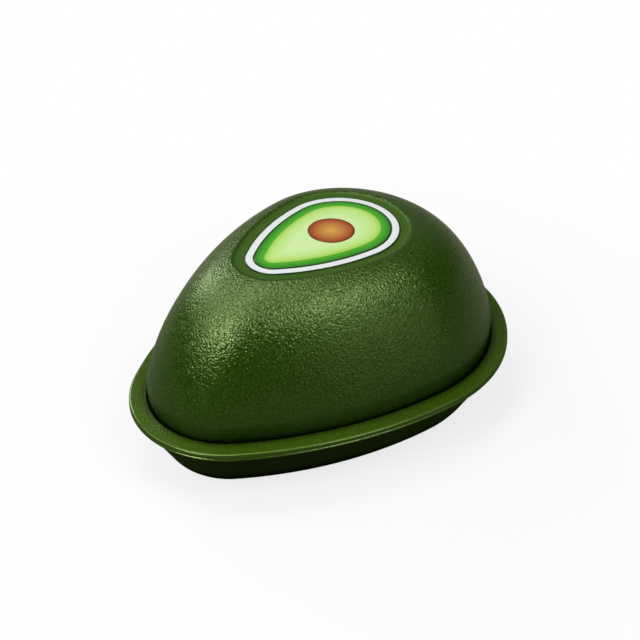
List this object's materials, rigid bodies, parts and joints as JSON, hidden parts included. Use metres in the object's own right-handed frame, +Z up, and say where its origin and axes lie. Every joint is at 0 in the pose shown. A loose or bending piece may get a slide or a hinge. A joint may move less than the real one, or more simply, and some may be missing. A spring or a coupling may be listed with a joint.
{
  "type": "avocado saver",
  "caption": "Egg-shaped keeper for half a fruit: a shallow tray with a wide flat rim and a domed cover that lifts straight off it, with a printed label on a level panel on top.",
  "frame": {"origin": "on the table, under the middle of the tray's rim", "axes": "+Z up, +X along the length towards the big end, the small end at -X"},
  "size_m": [0.14, 0.106, 0.0627],
  "materials": {
    "tray_plastic": "fine sparked grain",
    "cover_plastic": "pebbled grain, smooth on the label's panel",
    "label_white": "gloss film",
    "label_dark": "gloss print",
    "label_green": "gloss print",
    "label_pale_green": "gloss print",
    "label_orange": "gloss print"
  },
  "bodies": {
    "tray": {"base_tray": "tray_plastic"},
    "cover": {"dome_cover": "cover_plastic", "label_film": "label_white", "label_outline": "label_dark", "label_skin": "label_green", "label_flesh": "label_pale_green", "label_pit": "label_orange"}
  },
  "joints": [
    {"name": "cover_lift", "type": "slide", "parent": "tray", "child": "cover", "axis": [0, 0, 1], "range_m": [0, 0.08]}
  ]
}
